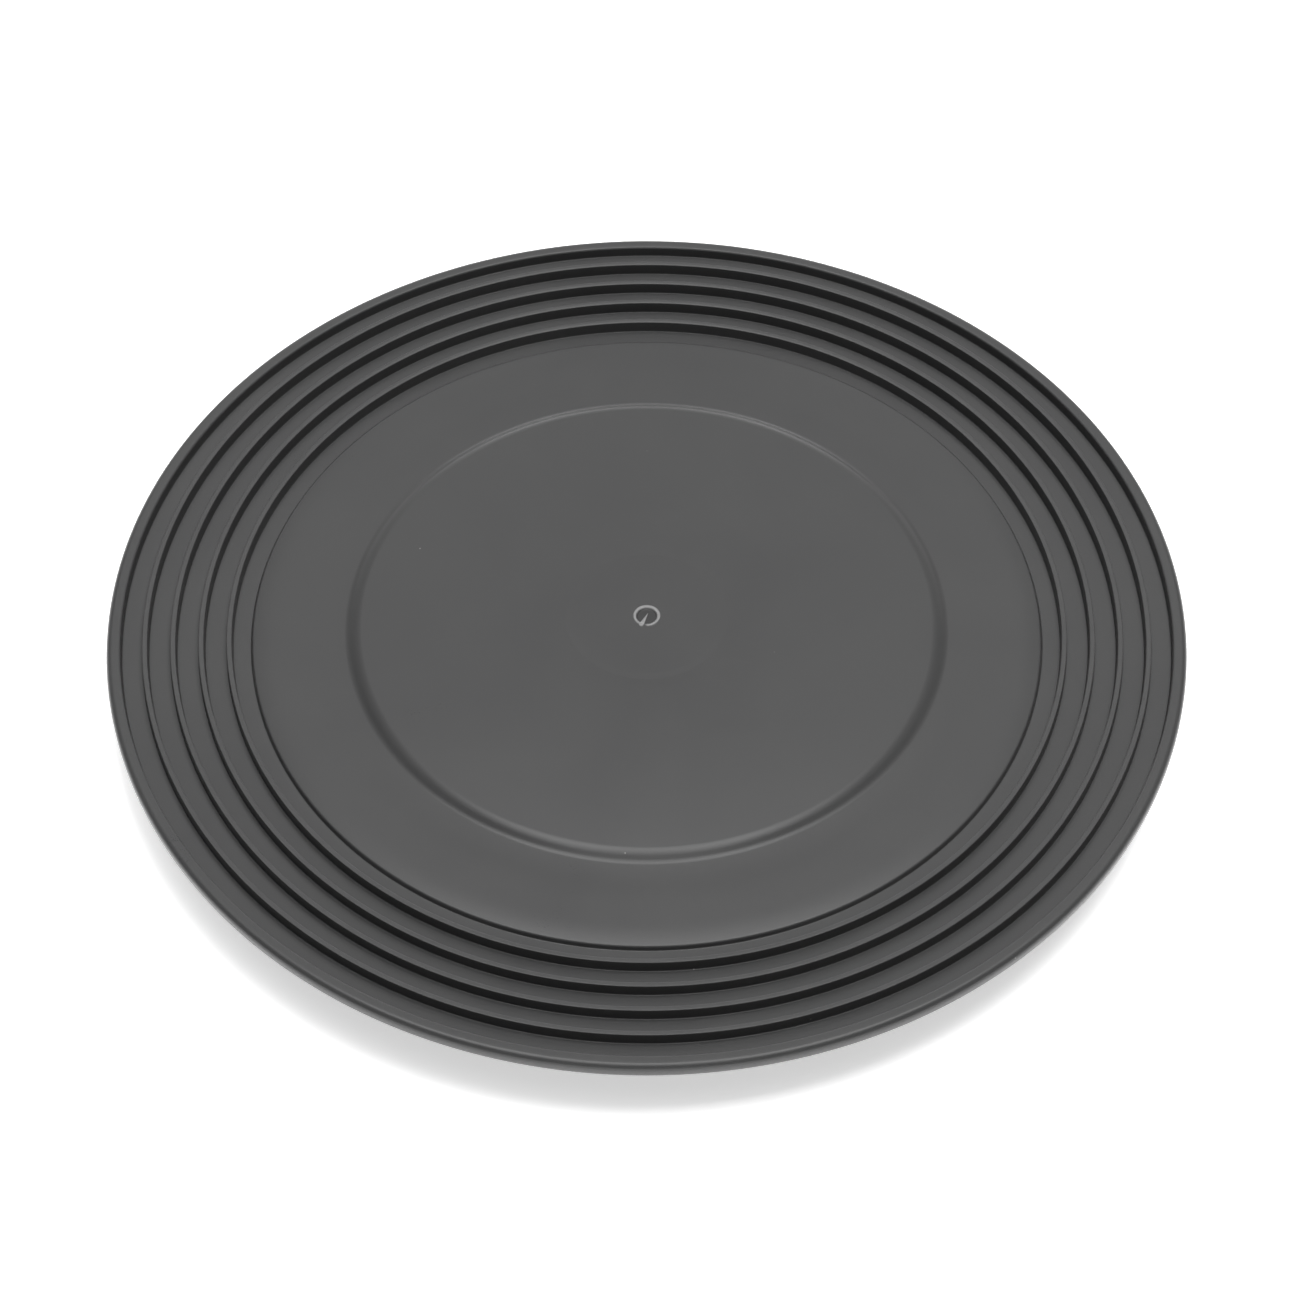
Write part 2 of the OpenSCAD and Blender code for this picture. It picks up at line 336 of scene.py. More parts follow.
def use_group(tree, group, place, **values):
    """Places a shared group in a material with its own values."""
    node = put(tree, "ShaderNodeGroup", node_tree=group)
    tree.links.new(place, node.inputs["Vector"])
    for key, value in values.items():
        node.inputs[key.replace("_", " ")].default_value = value
    return node.outputs


def blend_colour(tree, mask, first, second):
    """Colour between first and second by mask; either may be a socket or an RGB triple."""
    mix = put(tree, "ShaderNodeMix", data_type="RGBA")
    tree.links.new(mask, mix.inputs["Factor"])
    for socket, value in ((mix.inputs[6], first), (mix.inputs[7], second)):
        if isinstance(value, bpy.types.NodeSocket):
            tree.links.new(value, socket)
        else:
            socket.default_value = (*value, 1)
    return mix.outputs[2]


def spread_value(tree, value, low, high, from_low=0.3, from_high=0.7):
    """Maps a noise value onto a range."""
    return put(tree, "ShaderNodeMapRange",
               {"Value": value, "From Min": from_low, "From Max": from_high,
                "To Min": low, "To Max": high}).outputs[0]


def bumped(tree, shader, height, strength, distance):
    """Feeds a height into the shader's normal."""
    bump = put(tree, "ShaderNodeBump",
               {"Height": height, "Strength": strength, "Distance": distance})
    tree.links.new(bump.outputs[0], shader.inputs["Normal"])


def moulded_plastic(name, dark, light, rough_low, rough_high, rubbed):
    """Satin injection-moulded plastic: mould grain, flow mottling, rubbed edges and dust."""
    material, tree, shader, place = new_material(name)
    grain = use_group(tree, moulded_grain, place, Grain_per_metre=2600.0, Flow_per_metre=22.0)
    worn = use_group(tree, rubbed_edges, place, Amount=0.5)
    specks = use_group(tree, dust_specks, place, Specks_per_metre=170.0, Size=0.035,
                       Share=0.06)
    tone = spread_value(tree, grain["Tone"], 0, 1, 0.35, 0.65)
    colour = blend_colour(tree, tone, dark, light)
    colour = blend_colour(tree, worn["Mask"], colour, rubbed)
    colour = blend_colour(tree, specks["Mask"], colour, (0.2, 0.2, 0.19))
    tree.links.new(colour, shader.inputs["Base Color"])
    rough = spread_value(tree, grain["Tone"], rough_low, rough_high)
    tree.links.new(rough, shader.inputs["Roughness"])
    bumped(tree, shader, grain["Height"], 0.25, 0.00006)
    return material, tree, shader, place


base_plastic = moulded_plastic("base_plastic", (0.028, 0.028, 0.029), (0.034, 0.034, 0.034),
                               0.42, 0.55, (0.06, 0.06, 0.06))[0]

BASE_TURN = 288
base_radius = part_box("base_dish")[1].x / mm
foot_proud = 2.0
base_floor = 4.5
skirt_top = 12
skirt_wall = 2.5
drip_groove = 0.4
race_seat = 5.5
seat_lip = 6.5
seat_inner, seat_outer = 70.9, 81.1
lip_inner, lip_outer = 69.1, 82.9
hub_recess, recess_roof = 14.5, 6.3
hub_wall, hub_top = 17.5, 11
bush_bore, bush_shelf = 12.48, 7.5
post_hole = 10.6
base_corners = [
    (hub_recess, foot_proud, 0.3), (99.5, foot_proud, 0.2),
    (100, foot_proud + drip_groove, 0.2), (101, foot_proud + drip_groove, 0.2),
    (101.5, foot_proud, 0.2), (base_radius - 1.5, foot_proud, 0.8),
    (base_radius, skirt_top, 0.8), (base_radius - skirt_wall, skirt_top, 0.6),
    (base_radius - 3.25, base_floor, 0.9), (lip_outer, base_floor, 0.5),
    (lip_outer, seat_lip, 0.3), (seat_outer, seat_lip, 0.2), (seat_outer, race_seat, 0.08),
    (seat_inner, race_seat, 0.08), (seat_inner, seat_lip, 0.2), (lip_inner, seat_lip, 0.3),
    (lip_inner, base_floor, 0.5), (hub_wall, base_floor, 0.6), (hub_wall, hub_top, 0.4),
    (bush_bore, hub_top, 0.1), (bush_bore, bush_shelf, 0.1), (post_hole, bush_shelf, 0.1),
    (post_hole, recess_roof, 0.2), (hub_recess, recess_roof, 0.2),
]
base_dish = turned("base_dish_moulding", rounded(base_corners), BASE_TURN)
base_spokes = 12
half_step = math.pi / base_spokes
spoke_width = 2
spoke_foot, spoke_top = 4, 7
base_dish = with_ring(base_dish, add_ring, plate("inner_spoke", [
    (17, spoke_foot), (69.6, spoke_foot), (69.6, 6.2), (63.5, 6.8), (62.8, spoke_top),
    (17, spoke_top)], spoke_width), base_spokes, half_step, base_plastic)
base_dish = with_ring(base_dish, add_ring, plate("outer_spoke", [
    (82.4, spoke_foot), (102.2, spoke_foot), (102.2, spoke_top), (91, spoke_top),
    (90.2, 6.8), (82.4, 6.2)], spoke_width), base_spokes, half_step, base_plastic)
foot_count = 6
foot_circle = 92
boss_top = 5.5
pocket_roof = 3.2
ejector_marks = 8
ejector_circle = 46


def moved_out(piece, distance):
    """Shifts a cutter or part out along X before it is repeated round the axis."""
    piece.data.transform(Matrix.Translation((distance * mm, 0, 0)))
    return piece


foot_boss = moved_out(turned("foot_boss", rounded(
    [(0, spoke_foot, 0), (6, spoke_foot, 0), (6, boss_top, 0.4), (0, boss_top, 0)],
    closed=False), 40, closed=False), foot_circle)
base_dish = with_ring(base_dish, add_ring, foot_boss, foot_count, 0, base_plastic)
foot_pocket = moved_out(turned("foot_pocket", rounded(
    [(0, 1, 0), (8.6, 1, 0), (8.6, 2.1, 0), (8.2, 2.4, 0), (8.2, pocket_roof, 0.1),
     (2.6, pocket_roof, 0), (2.6, 7, 0), (0, 7, 0)], closed=False), 48, closed=False),
    foot_circle)
base_dish = with_ring(base_dish, cut_ring, foot_pocket, foot_count, 0, base_plastic)
pin_mark = moved_out(turned("ejector_mark", rounded(
    [(0, 1, 0), (3, 1, 0), (3, foot_proud + 0.15, 0.05), (0, foot_proud + 0.15, 0)],
    closed=False), 32, closed=False), ejector_circle)
base_dish = with_ring(base_dish, cut_ring, pin_mark, ejector_marks, half_step, base_plastic)
marked(base_dish, "edge", near_outline(
    [(base_radius, skirt_top), (base_radius - 1.5, foot_proud), (hub_recess, foot_proud)],
    1.4))
finished(base_dish, "base", ["base_dish"], base_plastic)

# ---------------------------------------------------------------------------------------------
# Rubber feet. Six push-in feet of black rubber: a pad with anti-slip rings, a stem through the
# base's floor, and a barb that snaps over the boss.
# ---------------------------------------------------------------------------------------------
foot_rubber, tree, shader, place = new_material("foot_rubber")
grain = use_group(tree, moulded_grain, place, Grain_per_metre=4200.0, Flow_per_metre=120.0)
specks = use_group(tree, dust_specks, place, Specks_per_metre=700.0, Size=0.12, Share=0.12)
tone = spread_value(tree, grain["Tone"], 0, 1)
colour = blend_colour(tree, tone, (0.012, 0.012, 0.012), (0.024, 0.023, 0.022))
colour = blend_colour(tree, specks["Mask"], colour, (0.16, 0.15, 0.14))
tree.links.new(colour, shader.inputs["Base Color"])
tree.links.new(spread_value(tree, grain["Height"], 0.75, 0.95), shader.inputs["Roughness"])
bumped(tree, shader, grain["Height"], 0.5, 0.00012)

grip_groove = 0.35
pad_radius = 8
stem_radius = 2.5
barb_top = 7.5
foot_corners = [(0, 0, 0)]
for ring_start in (2.6, 5.0):
    foot_corners += [(ring_start, 0, 0.1), (ring_start + 0.2, grip_groove, 0.1),
                     (ring_start + 0.9, grip_groove, 0.1), (ring_start + 1.1, 0, 0.1)]
foot_corners += [
    (7.4, 0, 0.4), (pad_radius, 0.9, 0.5), (pad_radius, pocket_roof, 0.2),
    (stem_radius, pocket_roof, 0.1), (stem_radius, 5.6, 0.1), (3.6, 5.62, 0.25),
    (2.2, barb_top, 0.5), (0, barb_top, 0),
]
one_foot = moved_out(
    turned("rubber_foot", rounded(foot_corners, closed=False), 64, closed=False),
    foot_circle)
feet = with_ring(solid("rubber_feet", [], []), ring_tree("copies_round_the_axis"),
                 one_foot, foot_count, 0, foot_rubber)
finished(feet, "base", [f"foot_{i}" for i in range(1, foot_count + 1)],
         foot_rubber)

# ---------------------------------------------------------------------------------------------
# Hub bush. A flanged sleeve turned from white acetal and pressed into the base's hub.
# ---------------------------------------------------------------------------------------------
bush_acetal, tree, shader, place = new_material("bush_acetal")
grain = use_group(tree, moulded_grain, place, Grain_per_metre=5000.0, Flow_per_metre=90.0)
marks = use_group(tree, turning_marks, place, Circles_per_metre=5000.0, Breaks=1.0)
tone = spread_value(tree, grain["Tone"], 0, 1)
tree.links.new(blend_colour(tree, tone, (0.7, 0.69, 0.65), (0.8, 0.79, 0.76)),
               shader.inputs["Base Color"])
tree.links.new(spread_value(tree, marks["Lines"], 0.25, 0.45), shader.inputs["Roughness"])
bumped(tree, shader, marks["Lines"], 0.3, 0.00004)
shader.inputs["Subsurface Weight"].default_value = 0.08
shader.inputs["Subsurface Scale"].default_value = 0.002

running_bore = 10.08
flange_radius, flange_top = 15, 12.2
bush = turned("flanged_bush", rounded([
    (running_bore, bush_shelf, 0.3), (bush_bore, bush_shelf, 0.3), (bush_bore, hub_top, 0.05),
    (flange_radius, hub_top, 0.2), (flange_radius, flange_top, 0.35),
    (running_bore, flange_top, 0.4)]), 128)
finished(bush, "base", ["hub_bush"], bush_acetal)

# ---------------------------------------------------------------------------------------------
# Race rings. Two zinc-plated steel rings with a rolled and polished ball groove, one pressed
# into the base and one into the wheel head.
# ---------------------------------------------------------------------------------------------
race_steel, tree, shader, place = new_material("race_steel")
marks = use_group(tree, turning_marks, place, Circles_per_metre=7000.0, Breaks=3.0)
grain = use_group(tree, moulded_grain, place, Grain_per_metre=900.0, Flow_per_metre=60.0)
tone = spread_value(tree, grain["Tone"], 0, 1)
tree.links.new(blend_colour(tree, tone, (0.5, 0.5, 0.48), (0.62, 0.62, 0.62)),
               shader.inputs["Base Color"])
shader.inputs["Metallic"].default_value = 1.0
polish = put(tree, "ShaderNodeAttribute", attribute_name="groove").outputs["Fac"]
plain_rough = spread_value(tree, marks["Lines"], 0.25, 0.5)
smooth = put(tree, "ShaderNodeMix", {"Factor": polish, 2: plain_rough, 3: 0.1},
             data_type="FLOAT")
tree.links.new(smooth.outputs[0], shader.inputs["Roughness"])
bumped(tree, shader, marks["Lines"], 0.4, 0.00003)

track = 76.0
ball_size = 3.0
ball_height = 9.5
groove_clear = 0.08
race_face = 2.2
race_thickness = 1.8
race_inner, race_outer = 71, 81
groove_steps = 16


def race_outline(side):
    """A race's section, below the balls for side -1 and above them for side 1."""
    reach = ball_size + groove_clear
    half = math.acos(race_face / reach)
    face_z = ball_height + side * race_face
    back_z = face_z + side * race_thickness
    groove = []
    for step in range(groove_steps + 1):
        a = half - 2 * half * step / groove_steps
        groove.append((track + reach * math.sin(a), ball_height + side * reach * math.cos(a), 0))
    return [(race_inner, back_z, 0.2), (race_inner, face_z, 0.15)] + groove[::-1] + [
        (race_outer, face_z, 0.15), (race_outer, back_z, 0.2)]


def in_groove(co):
    """1 on the polished ball groove of either race, 0 elsewhere."""
    from_track = math.hypot(co.x, co.y) - track * mm
    gap = math.hypot(from_track, co.z - ball_height * mm) - (ball_size + groove_clear) * mm
    return 1.0 if abs(gap) < 0.02 * mm else 0.0


for race_name, node, side, body in (("lower_race_ring", "lower_race", -1, "base"),
                                    ("upper_race_ring", "upper_race", 1, "head")):
    race = turned(race_name, rounded(race_outline(side), degrees_a_step=30), 360)
    marked(race, "groove", in_groove)
    finished(race, body, [node], race_steel, crease=25)

# ---------------------------------------------------------------------------------------------
# Ball cage. A natural nylon ring moulded with a round boss at each ball; the pockets are part
# spheres that the balls snap into, and it carries a thin film of grease.
# ---------------------------------------------------------------------------------------------
cage_nylon, tree, shader, place = new_material("cage_nylon")
grain = use_group(tree, moulded_grain, place, Grain_per_metre=3000.0, Flow_per_metre=70.0)
tone = spread_value(tree, grain["Tone"], 0, 1)
tree.links.new(blend_colour(tree, tone, (0.6, 0.55, 0.42), (0.72, 0.69, 0.58)),
               shader.inputs["Base Color"])
tree.links.new(spread_value(tree, grain["Tone"], 0.3, 0.5), shader.inputs["Roughness"])
tree.links.new(spread_value(tree, grain["Tone"], 0, 0.5), shader.inputs["Coat Weight"])
shader.inputs["Coat Roughness"].default_value = 0.2
shader.inputs["Subsurface Weight"].default_value = 0.15
shader.inputs["Subsurface Scale"].default_value = 0.003
bumped(tree, shader, grain["Height"], 0.3, 0.00005)

balls = 18
cage_inner, cage_outer = 72.5, 79.5
web_half = 1
pocket_boss = 4.4
boss_half = 1.4
cage = turned("cage_ring", rounded([
    (cage_inner, ball_height - web_half, 0.3), (cage_outer, ball_height - web_half, 0.3),
    (cage_outer, ball_height + web_half, 0.3), (cage_inner, ball_height + web_half, 0.3)]), 360)
cage_boss = moved_out(turned("cage_boss", rounded([
    (0, ball_height - boss_half, 0), (pocket_boss, ball_height - boss_half, 0.3),
    (pocket_boss, ball_height + boss_half, 0.3), (0, ball_height + boss_half, 0)],
    closed=False), 48, closed=False), track)
cage = with_ring(cage, add_ring, cage_boss, balls, 0, cage_nylon)
pocket_size = ball_size + 0.12
pocket_steps = 32
pocket = moved_out(turned("ball_pocket", [
    Vector((pocket_size * mm * math.sin(math.pi * k / pocket_steps),
            (ball_height - pocket_size * math.cos(math.pi * k / pocket_steps)) * mm))
    for k in range(pocket_steps + 1)], 56, closed=False), track)
cage = with_ring(cage, cut_ring, pocket, balls, 0, cage_nylon)
finished(cage, "cage", ["ball_cage"], cage_nylon)

# ---------------------------------------------------------------------------------------------
# Bearing balls. Eighteen polished 6 mm balls of hardened steel, each turning on its own body.
# ---------------------------------------------------------------------------------------------
ball_steel, tree, shader, place = new_material("ball_steel")
grain = use_group(tree, moulded_grain, place, Grain_per_metre=1500.0, Flow_per_metre=260.0)
tone = spread_value(tree, grain["Tone"], 0, 1)
tree.links.new(blend_colour(tree, tone, (0.56, 0.56, 0.55), (0.66, 0.66, 0.66)),
               shader.inputs["Base Color"])
shader.inputs["Metallic"].default_value = 1.0
tree.links.new(spread_value(tree, grain["Tone"], 0.05, 0.16), shader.inputs["Roughness"])


def ball_tree():
    """Geometry Nodes: one ball at its place on the track."""
    tree = bpy.data.node_groups.new("bearing_ball", "GeometryNodeTree")
    face = tree.interface
    for label in ("Radius", "Track", "Height", "Angle"):
        face.new_socket(label, in_out="INPUT", socket_type="NodeSocketFloat")
    face.new_socket("Material", in_out="INPUT", socket_type="NodeSocketMaterial")
    face.new_socket("Ball", in_out="OUTPUT", socket_type="NodeSocketGeometry")
    given = put(tree, "NodeGroupInput").outputs
    sphere = put(tree, "GeometryNodeMeshIcoSphere",
                 {"Radius": given["Radius"], "Subdivisions": 5})
    lift = put(tree, "ShaderNodeCombineXYZ", {"X": given["Track"], "Z": given["Height"]})
    out = put(tree, "GeometryNodeTransform",
              {"Geometry": sphere.outputs[0], "Translation": lift.outputs[0]})
    turn = put(tree, "ShaderNodeCombineXYZ", {"Z": given["Angle"]})
    placed = put(tree, "GeometryNodeTransform",
                 {"Geometry": out.outputs[0], "Rotation": turn.outputs[0]})
    real = put(tree, "GeometryNodeRealizeInstances", {"Geometry": placed.outputs[0]})
    painted = put(tree, "GeometryNodeSetMaterial",
                  {"Geometry": real.outputs[0], "Material": given["Material"]})
    put(tree, "NodeGroupOutput", {"Ball": painted.outputs[0]})
    return tree


bearing_ball = ball_tree()
for number in range(1, balls + 1):
    ball = solid(f"bearing_ball_{number:02d}", [], [])
    modifier = ball.modifiers.new("bearing_ball", "NODES")
    modifier.node_group = bearing_ball
    values = {"Radius": ball_size * mm, "Track": track * mm, "Height": ball_height * mm,
              "Angle": 2 * math.pi * (number - 1) / balls, "Material": ball_steel}
    for item in bearing_ball.interface.items_tree:
        if item.in_out == "INPUT":
            modifier[item.identifier] = values[item.name]
    result = bpy.data.meshes.new_from_object(
        ball.evaluated_get(bpy.context.evaluated_depsgraph_get()))
    ball.modifiers.remove(modifier)
    ball.data = result
    finished(ball, f"roller_{number:02d}", [f"ball_{number:02d}"], ball_steel,
             crease=60)

# ---------------------------------------------------------------------------------------------
# Wheel head. The ribbed top moulding in dark grey polypropylene: a raised plateau, a plain
# panel that rolls off towards the ribs, four thin grip ribs, and a bullnosed rim. Spokes, the
# race seat, the dust ring and the hub post are moulded below.
# ---------------------------------------------------------------------------------------------
HEAD_TURN = 320
head_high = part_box("wheel_head")[1]
head_radius = head_high.x / mm
rim_top = head_high.z / mm
panel_z = rim_top - 4.5
plateau_z = panel_z + 1.5
panel_radius = 110.5
rim_inner = head_radius - 4
rib_width = 1.6
rib_height = 3.65
rib_pitch = 7.7
rib_count = 4
groove_start = 112.5
head_wall = 2.8
race_roof = 13.5
roof_lip = 12.5
plateau_under = 15.7
post_radius, post_end = 10, 6
insert_bore, insert_roof = 3.5, 13
dust_ring_inner, dust_ring_outer = 21.5, 24
dust_ring_foot = 9
top_face = 16 * mm
gate_rings = 36
gate_reach = 5.2


def groove_z(radius):
    """Height of the sloping groove floors."""
    return panel_z - 1.7 + 0.08 * (radius - groove_start)


head_corners = [(gate_reach * k / gate_rings, plateau_z, 0) for k in range(gate_rings + 1)]
head_corners += [
    (20.6, plateau_z, 6), (22.7, plateau_z - 0.09, 3), (24.8, plateau_z, 6),
    (81.0, plateau_z, 5), (83.6, panel_z - 0.12, 3), (94, panel_z, 150),
    (104, panel_z - 0.2, 60), (panel_radius - 0.4, panel_z - 0.5, 0.7),
    (panel_radius, groove_z(panel_radius), 0.35),
]
rib_edges = []
for k in range(rib_count):
    middle = rim_inner - 6.6 - (rib_count - 1 - k) * rib_pitch
    top = groove_z(middle) + rib_height
    inner, outer = middle - rib_width / 2, middle + rib_width / 2
    head_corners += [(inner, groove_z(inner), 0.35), (inner + 0.08, top - 0.09, 0.25),
                     (outer - 0.08, top + 0.09, 0.25), (outer, groove_z(outer), 0.35)]
    rib_edges += [(inner, top), (outer, top)]
head_corners += [
    (rim_inner, groove_z(rim_inner), 0.4), (rim_inner + 0.1, rim_top - 0.3, 0.6),
    (head_radius, rim_top, 1.6), (head_radius, 17.3, 1.9), (rim_inner - 0.3, 15.5, 0.8),
    (groove_start, 12.7, 1.5), (106.5, panel_z - head_wall, 2),
    (lip_outer, panel_z - head_wall, 0.3), (lip_outer, roof_lip, 0.3),
    (seat_outer, roof_lip, 0.2), (seat_outer, race_roof, 0.08), (seat_inner, race_roof, 0.08),
    (seat_inner, roof_lip, 0.2), (lip_inner, roof_lip, 0.3), (lip_inner, plateau_under, 0.5),
    (dust_ring_outer, plateau_under, 0.5), (dust_ring_outer, dust_ring_foot, 0.4),
    (dust_ring_inner, dust_ring_foot, 0.4), (dust_ring_inner, plateau_under, 0.5),
    (post_radius, plateau_under, 0.6), (post_radius, post_end, 0.4),
    (insert_bore, post_end, 0.2), (insert_bore, insert_roof, 0.1), (0, insert_roof, 0),
]
head = turned("wheel_head_moulding", rounded(head_corners, closed=False),
              HEAD_TURN, closed=False)

head_plastic, tree, shader, place = moulded_plastic(
    "head_plastic", (0.033, 0.033, 0.0335), (0.037, 0.037, 0.037), 0.27, 0.33,
    (0.055, 0.055, 0.055))

head_spokes = 12
head = with_ring(head, add_ring, plate("head_inner_spoke", [
    (9.6, race_roof), (69.6, race_roof), (69.6, 16.2), (9.6, 16.2)], spoke_width),
    head_spokes, 0, head_plastic)
head = with_ring(head, add_ring, plate("head_gusset", [
    (82.4, 13), (106.5, 13), (112.5, 12.2), (138.5, 12.8), (142, 13.6), (145.6, 15.6),
    (145.6, 16.2), (groove_start, 13.4), (106.5, 14.8), (82.4, 14.8)], spoke_width),
    2 * head_spokes, 0, head_plastic)
marked(head, "edge", near_outline(rib_edges + [(rim_inner, rim_top - 0.3),
                                              (head_radius, rim_top)], 0.9))


def soft_step(value, low, high):
    """0 below low, 1 above high, and a smooth rise between."""
    share = min(1, max(0, (value - low) / (high - low)))
    return share * share * (3 - 2 * share)


scar_radius = 3.35
scar_break = -120
scar_height = 0.2
hook_root, hook_tip = Vector((-1.5, -3.0)), Vector((0.4, 1.3))
pit_depth = 0.3


def gate_scar(co):
    """The torn-off moulding gate: a broken ring with one end bent inwards. 1 on its crest."""
    here = Vector((co.x / mm, co.y / mm))
    if co.z < top_face or here.length > gate_reach:
        return 0.0
    angle = (math.degrees(math.atan2(here.y, here.x)) - scar_break) % 360 + scar_break
    half_width = 0.56 + 0.1 * math.cos(math.radians(angle - 75))
    half_width *= soft_step(angle, scar_break + 10, scar_break + 36)
    ring = soft_step(half_width - abs(here.length - scar_radius), 0, 0.3)
    hook_line = hook_tip - hook_root
    along = min(1, max(0, (here - hook_root).dot(hook_line) / hook_line.length_squared))
    gap = (here - hook_root.lerp(hook_tip, along)).length
    hook = soft_step(0.7 * (1 - along) + 0.12 - gap, 0, 0.22)
    return max(ring, hook)


def gate_pit(co):
    """The shallow pit inside the torn ring, 1 over its floor, where the colour is painted
    darker.
    """
    if co.z < top_face:
        return 0.0
    return 1 - soft_step(math.hypot(co.x, co.y) / mm, 2.5, 3.1)


marked(head, "gate", gate_scar)
marked(head, "pit", gate_pit)
for vertex in head.data.vertices:
    rise = scar_height * gate_scar(vertex.co) - pit_depth * gate_pit(vertex.co)
    vertex.co.z += rise * mm
pit = put(tree, "ShaderNodeAttribute", attribute_name="pit").outputs["Fac"]
scar = put(tree, "ShaderNodeAttribute", attribute_name="gate").outputs["Fac"]
plain = shader.inputs["Base Color"].links[0].from_socket
# The pit's floor is painted darker than the plastic around it. Its roughness is the same as the
# rest of the head.
plain = blend_colour(tree, pit, plain, (0.021, 0.021, 0.021))
tree.links.new(blend_colour(tree, scar, plain, (0.19, 0.19, 0.19)), shader.inputs["Base Color"])
finished(head, "head", ["wheel_head"], head_plastic)

# ---------------------------------------------------------------------------------------------
# Hub fixings. A knurled brass insert moulded into the end of the post, a zinc-plated washer
# that keeps the head from lifting off, and the M5 socket screw that clamps it.
# ---------------------------------------------------------------------------------------------
insert_brass, tree, shader, place = new_material("insert_brass")
marks = use_group(tree, turning_marks, place, Circles_per_metre=9000.0, Breaks=2.0)
tone = spread_value(tree, marks["Lines"], 0, 1)
tree.links.new(blend_colour(tree, tone, (0.58, 0.38, 0.14), (0.78, 0.58, 0.27)),
               shader.inputs["Base Color"])
shader.inputs["Metallic"].default_value = 1.0
tree.links.new(spread_value(tree, marks["Lines"], 0.2, 0.4), shader.inputs["Roughness"])
bumped(tree, shader, marks["Lines"], 0.3, 0.00003)
tapped_bore = 2.5
insert_top = 11
knurls = 36
insert = turned("knurled_insert", rounded([
    (tapped_bore, post_end, 0.2), (insert_bore, post_end, 0.2), (insert_bore, 8, 0.1),
    (3.2, 8.15, 0.1), (3.2, 8.85, 0.1), (insert_bore, 9, 0.1), (insert_bore, insert_top, 0.2),
    (tapped_bore, insert_top, 0.2)], degrees_a_step=30), 144)
knurl = plate("knurl_cut", [(3.38, post_end - 0.1), (3.8, post_end - 0.1),
                            (3.8, insert_top + 0.1), (3.38, insert_top + 0.1)], 0.22)
insert = with_ring(insert, cut_ring, knurl, knurls, 0, insert_brass)
finished(insert, "head", ["hub_insert"], insert_brass)


def zinc_plate(name, dark, light):
    """Bright zinc plating over turned or stamped steel, with faint patchy passivation."""
    material, tree, shader, place = new_material(name)
    marks = use_group(tree, turning_marks, place, Circles_per_metre=3500.0, Breaks=2.5)
    grain = use_group(tree, moulded_grain, place, Grain_per_metre=1400.0,
                      Flow_per_metre=180.0)
    tone = spread_value(tree, grain["Tone"], 0, 1)
    tree.links.new(blend_colour(tree, tone, dark, light), shader.inputs["Base Color"])
    shader.inputs["Metallic"].default_value = 1.0
    tree.links.new(spread_value(tree, marks["Lines"], 0.22, 0.42),
                   shader.inputs["Roughness"])
    bumped(tree, shader, marks["Lines"], 0.3, 0.00003)
    return material


washer_zinc = zinc_plate("washer_zinc", (0.46, 0.46, 0.43), (0.6, 0.6, 0.6))
washer_hole, washer_radius = 2.7, 13
washer_face = 4.8
washer = turned("retaining_washer_plate", rounded([
    (washer_hole, washer_face, 0.1), (washer_radius, washer_face, 0.35),
    (washer_radius, post_end, 0.15), (washer_hole, post_end, 0.1)]), 160)
finished(washer, "head", ["retaining_washer"], washer_zinc)

screw_zinc = zinc_plate("screw_zinc", (0.42, 0.42, 0.4), (0.56, 0.56, 0.56))
screw_top = 11.0
screw_shank = 2.45
thread_pitch = 0.8
thread_depth = 0.42


def threaded_rod(name, low, high, around=48, per_pitch=8):
    """A closed rod with a real helical thread that fades out at both ends."""
    rows = round((high - low) / thread_pitch * per_pitch)
    verts, faces = [], []
    for row in range(rows + 1):
        z = low + (high - low) * row / rows
        fade = min(1, (high - z) / thread_pitch, (z - low) / thread_pitch)
        for k in range(around):
            phase = (z / thread_pitch - k / around) % 1
            cut = (1 - abs(2 * phase - 1)) * thread_depth * max(0, fade)
            radius = screw_shank - cut
            angle = 2 * math.pi * k / around
            verts.append((radius * math.cos(angle) * mm, radius * math.sin(angle) * mm, z * mm))
    for row in range(rows):
        for k in range(around):
            a, b = row * around + k, row * around + (k + 1) % around
            faces.append((a, b, b + around, a + around))
    faces += [tuple(range(around))[::-1], tuple(range(rows * around, (rows + 1) * around))]
    return solid(name, verts, faces)


screw_head, screw_face = 4.8, 2.4
neck_top = 5.4
screw = turned("pivot_socket_screw", rounded([
    (0, screw_face, 0), (screw_head, screw_face, 0.4), (screw_head, washer_face, 0.15),
    (screw_shank, washer_face, 0.1), (screw_shank, neck_top, 0), (0, neck_top, 0)],
    closed=False), 96, closed=False)
screw = with_ring(screw, add_ring, threaded_rod("thread", 5.0, screw_top), 1, 0, screw_zinc)
socket_corner = 1.75
socket_bottom = 3.8
socket = solid("socket_cut",
               [(socket_corner * mm * math.cos(math.pi * k / 3),
                 socket_corner * mm * math.sin(math.pi * k / 3), z * mm)
                for z in (screw_face - 0.4, socket_bottom) for k in range(6)],
               [tuple(range(6))[::-1], tuple(range(6, 12))]
               + [(k, (k + 1) % 6, (k + 1) % 6 + 6, k + 6) for k in range(6)])
screw = with_ring(screw, cut_ring, socket, 1, 0, screw_zinc)
finished(screw, "head", ["pivot_screw"], screw_zinc)

